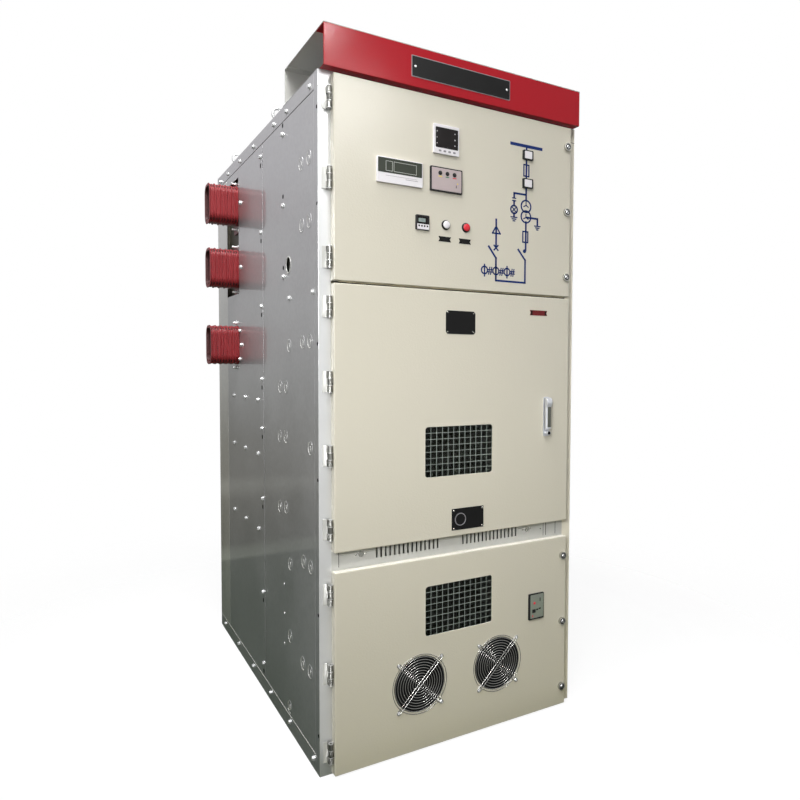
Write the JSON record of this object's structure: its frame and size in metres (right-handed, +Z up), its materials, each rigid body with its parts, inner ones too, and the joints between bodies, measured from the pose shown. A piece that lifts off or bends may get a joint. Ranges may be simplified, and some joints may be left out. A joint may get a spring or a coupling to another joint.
{
  "type": "indoor high voltage switchgear cabinet",
  "caption": "Free-standing metal-clad switchgear cabinet with hinged instrument, breaker and cable doors, a red lintel with a wiring trough, and ribbed busbar bushings on one side.",
  "frame": {"origin": "centre of the carcass footprint, on the floor", "axes": "+Z up, doors face -Y, +X to the right of someone facing the doors"},
  "size_m": [1.118, 1.558, 2.33],
  "materials": {
    "zinc_sheet": "spangled zinc-coated sheet, satin",
    "bright_zinc": "bright zinc plate",
    "cream_paint": "cream powder coat, fine orange peel",
    "red_paint": "red gloss paint",
    "red_resin": "red cast resin",
    "chrome": "bright plated",
    "white_plastic": "satin moulded",
    "dark_plastic": "satin moulded",
    "red_plastic": "glossy lens",
    "mesh_wire": "zinc-plated wire",
    "glass": "clear"
  },
  "bodies": {
    "cabinet": {"base_frame": "zinc_sheet", "floor_plate": "zinc_sheet", "top_frame": "zinc_sheet", "left_front_sheet": "zinc_sheet", "left_rear_sheet": "zinc_sheet", "right_front_sheet": "zinc_sheet", "right_rear_sheet": "zinc_sheet", "roof_front_plate": "zinc_sheet", "relief_flaps": "zinc_sheet", "rear_partition": "zinc_sheet", "instrument_back_plate": "zinc_sheet", "instrument_floor": "zinc_sheet", "breaker_floor": "zinc_sheet", "wiring_trough": "zinc_sheet", "bushing_recess": "zinc_sheet", "front_posts": "bright_zinc", "rear_posts": "bright_zinc", "vent_strip": "bright_zinc", "lifting_eyes": "bright_zinc", "frame_hinges": "bright_zinc", "rear_upper_cover": "cream_paint", "rear_lower_cover": "cream_paint", "lintel": "red_paint", "upper_bushing": "red_resin", "middle_bushing": "red_resin", "lower_bushing": "red_resin"},
    "top_door": {"top_door": "cream_paint", "top_door_hinges": "bright_zinc", "top_door_locks": "chrome", "panel_meter": "white_plastic", "relay": "white_plastic", "voltage_indicator": "dark_plastic", "temperature_controller": "dark_plastic", "white_button": "white_plastic", "red_button": "red_plastic", "position_indicators": "dark_plastic"},
    "middle_door": {"middle_door": "cream_paint", "middle_door_hinges": "bright_zinc", "middle_window_mesh": "mesh_wire", "middle_window_glass": "glass", "crank_cover": "dark_plastic", "handle_base": "chrome"},
    "handle": {"handle_lever": "chrome"},
    "low_door": {"low_door": "cream_paint", "low_door_hinges": "bright_zinc", "low_door_locks": "chrome", "low_window_mesh": "mesh_wire", "low_window_glass": "glass", "control_module": "dark_plastic", "fan_guards": "chrome", "fan_housings": "dark_plastic"}
  },
  "joints": [
    {"name": "top_door_hinge", "type": "hinge", "parent": "cabinet", "child": "top_door", "pos_m": [-0.469, -0.7675, 1.8775], "axis": [0, 0, -1], "range_deg": [0, 120]},
    {"name": "middle_door_hinge", "type": "hinge", "parent": "cabinet", "child": "middle_door", "pos_m": [-0.469, -0.7675, 1.1375], "axis": [0, 0, -1], "range_deg": [0, 120]},
    {"name": "low_door_hinge", "type": "hinge", "parent": "cabinet", "child": "low_door", "pos_m": [-0.469, -0.7675, 0.3305], "axis": [0, 0, -1], "range_deg": [0, 120]},
    {"name": "handle_turn", "type": "hinge", "parent": "middle_door", "child": "handle", "pos_m": [0.355, -0.8, 1.171], "axis": [0, 1, 0], "range_deg": [0, 90]}
  ]
}
